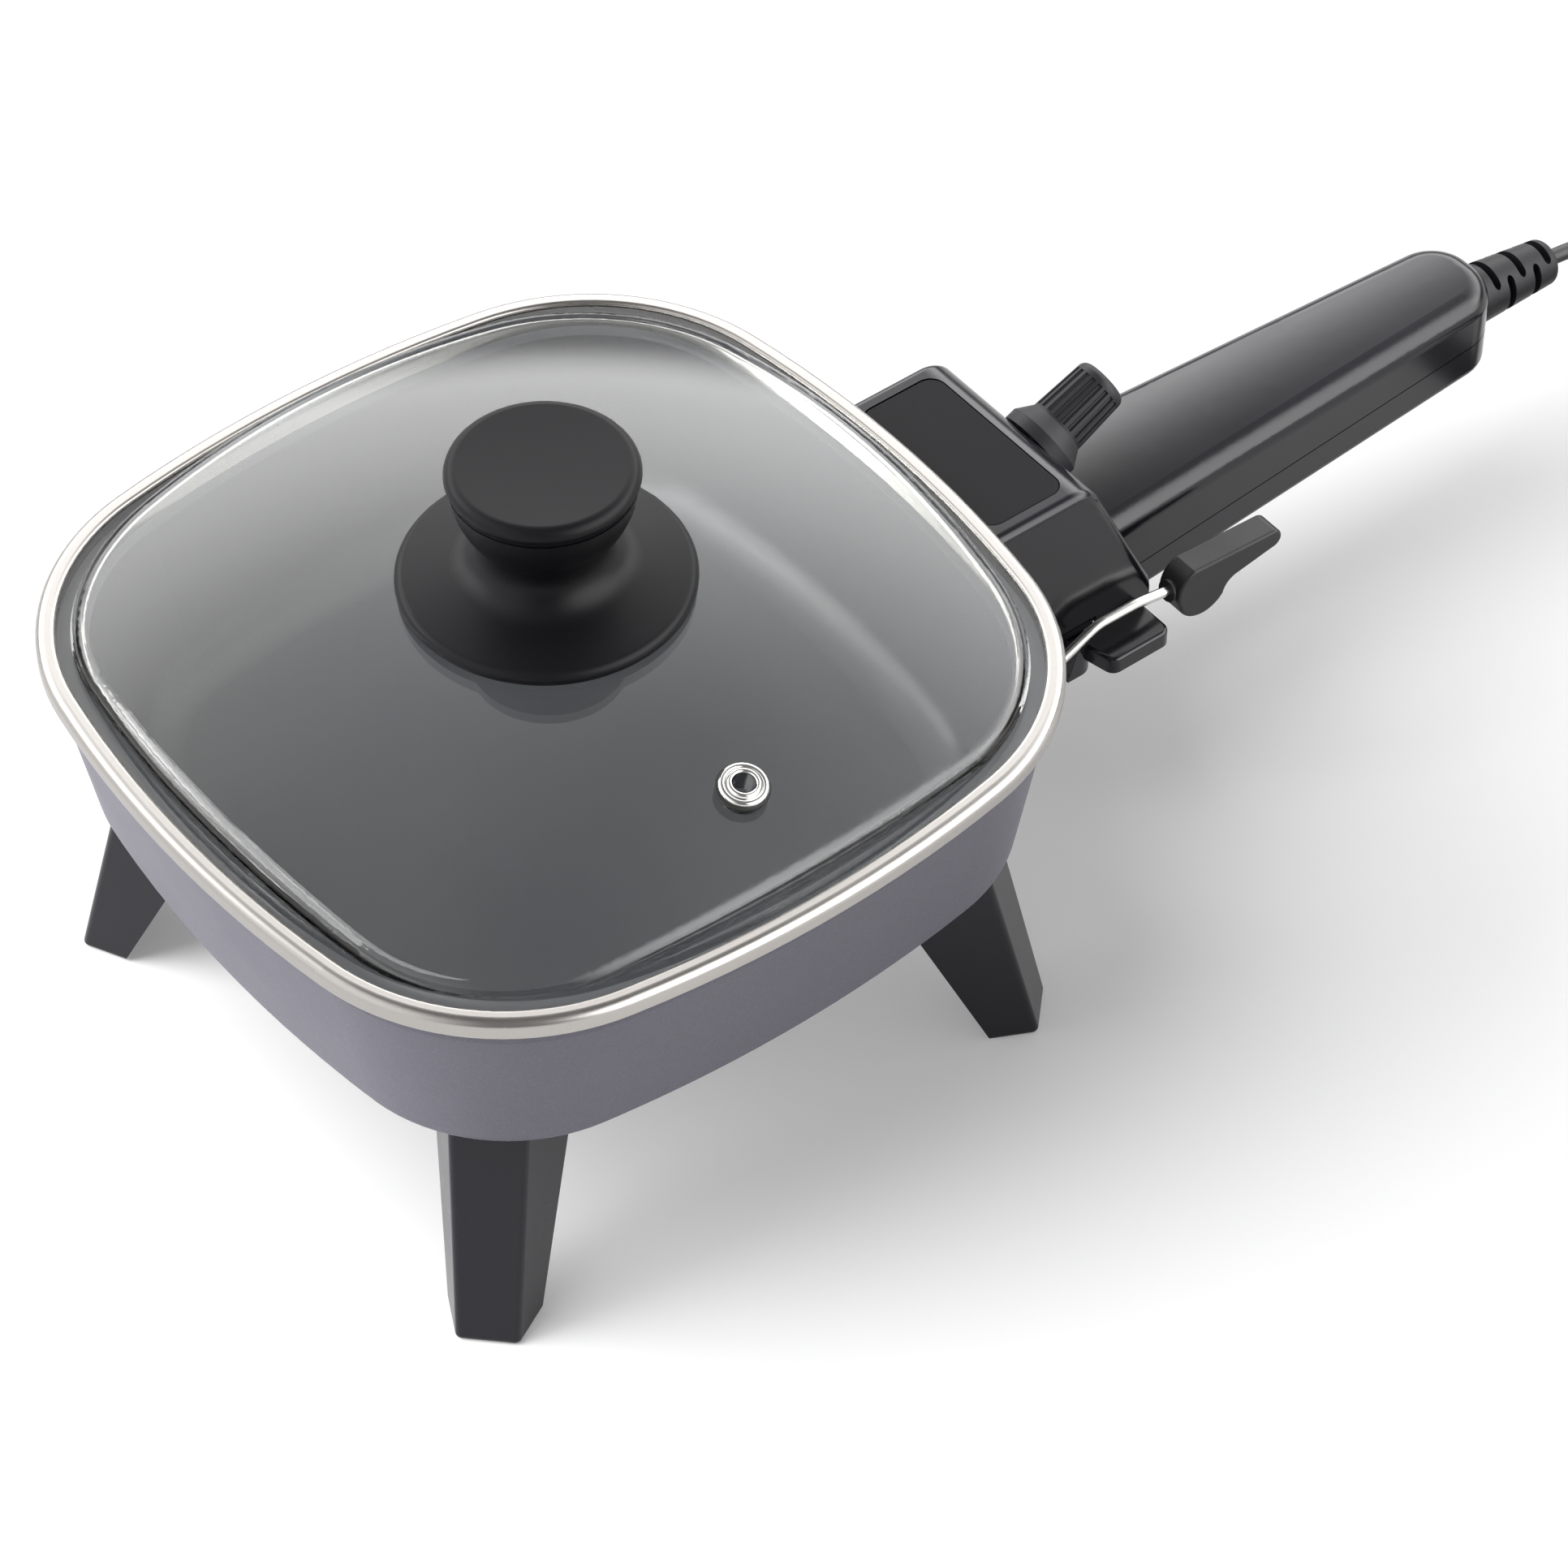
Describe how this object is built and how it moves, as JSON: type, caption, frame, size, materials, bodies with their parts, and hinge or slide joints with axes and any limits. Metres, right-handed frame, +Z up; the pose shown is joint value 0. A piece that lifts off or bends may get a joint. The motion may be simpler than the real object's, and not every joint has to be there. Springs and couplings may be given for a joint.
{
  "type": "electric skillet",
  "caption": "Countertop skillet: rounded-square cast pan on splayed legs, lift-off glass lid with knob, pull-off heater control with dial, handle and cord.",
  "frame": {"origin": "on the surface that the legs stand on, under the middle of the skillet without its free cord: midway along X between the lid ring's far side and the tip of the strain relief, and on the mid-plane across", "axes": "+X from the pan towards the end of the handle, +Y to the left when looking from the pan along the handle, +Z up"},
  "size_m": [0.4404, 0.221, 0.152],
  "materials": {
    "pan_casting": "satin metallic coat outside, dark non-stick coat inside",
    "element_sheath": "satin",
    "pin_steel": "satin",
    "bushing_ceramic": "unglazed ceramic",
    "leg_plastic": "satin black phenolic",
    "screw_steel": "zinc plated",
    "tongue_metal": "bare satin",
    "bracket_plastic": "gloss black",
    "rim_steel": "bright satin steel",
    "lid_glass": "clear tempered glass",
    "gasket_silicone": "matte silicone",
    "vent_steel": "bright",
    "knob_plastic": "satin black phenolic",
    "washer_silicone": "matte silicone",
    "housing_plastic": "gloss black",
    "base_plastic": "satin black",
    "plate_plastic": "matte dark grey",
    "block_ceramic": "unglazed ceramic",
    "clip_brass": "satin",
    "thermostat_body": "brown phenolic",
    "probe_steel": "satin",
    "handle_plastic": "gloss black",
    "lead_insulation": "glass braid",
    "relief_rubber": "matte",
    "cord_rubber": "matte",
    "plug_rubber": "matte",
    "blade_brass": "bright",
    "dial_plastic": "matte rubbery black",
    "shaft_steel": "satin",
    "lever_steel": "bright satin",
    "grip_plastic": "matte charcoal"
  },
  "bodies": {
    "pan": {"pan_body": "pan_casting", "heating_element": "element_sheath", "terminal_pins": "pin_steel", "pin_bushings": "bushing_ceramic", "leg_rear_left": "leg_plastic", "leg_front_left": "leg_plastic", "leg_front_right": "leg_plastic", "leg_rear_right": "leg_plastic", "leg_screws": "screw_steel", "mounting_tongue": "tongue_metal", "tongue_screws": "screw_steel", "latch_bracket": "bracket_plastic", "bracket_screws": "screw_steel"},
    "lid": {"lid_rim": "rim_steel", "lid_glass": "lid_glass", "vent_gasket": "gasket_silicone", "vent_grommet": "vent_steel", "knob_base": "knob_plastic", "knob_cap": "knob_plastic", "knob_washer": "washer_silicone", "knob_screw": "screw_steel"},
    "control": {"control_cover": "housing_plastic", "base_cover": "base_plastic", "cover_screws": "screw_steel", "top_plate": "plate_plastic", "terminal_block": "block_ceramic", "terminal_clips": "clip_brass", "thermostat": "thermostat_body", "temperature_probe": "probe_steel", "handle_upper": "handle_plastic", "handle_lower": "handle_plastic", "handle_screws": "screw_steel", "handle_leads": "lead_insulation", "strain_relief": "relief_rubber", "cord_lead": "cord_rubber", "cord_coil": "cord_rubber", "cord_tail": "cord_rubber", "plug_body": "plug_rubber", "plug_blades": "blade_brass"},
    "dial": {"dial_knob": "dial_plastic", "dial_shaft": "shaft_steel"},
    "lever": {"lever_wire": "lever_steel", "lever_clip": "lever_steel", "lever_grip": "grip_plastic"}
  },
  "joints": [
    {"name": "lid_lift", "type": "slide", "parent": "pan", "child": "lid", "axis": [0, 0, 1], "range_m": [0, 0.15]},
    {"name": "control_pull", "type": "slide", "parent": "pan", "child": "control", "axis": [1, 0, 0], "range_m": [0, 0.06]},
    {"name": "dial_turn", "type": "hinge", "parent": "control", "child": "dial", "pos_m": [0.03502, 0, 0.0798], "axis": [0.905, 0, 0.4254], "range_deg": [0, 270]},
    {"name": "lever_press", "type": "hinge", "parent": "pan", "child": "lever", "pos_m": [0.00987, -0.0324, 0.0478], "axis": [0, -1, 0], "range_deg": [0, 70]}
  ]
}
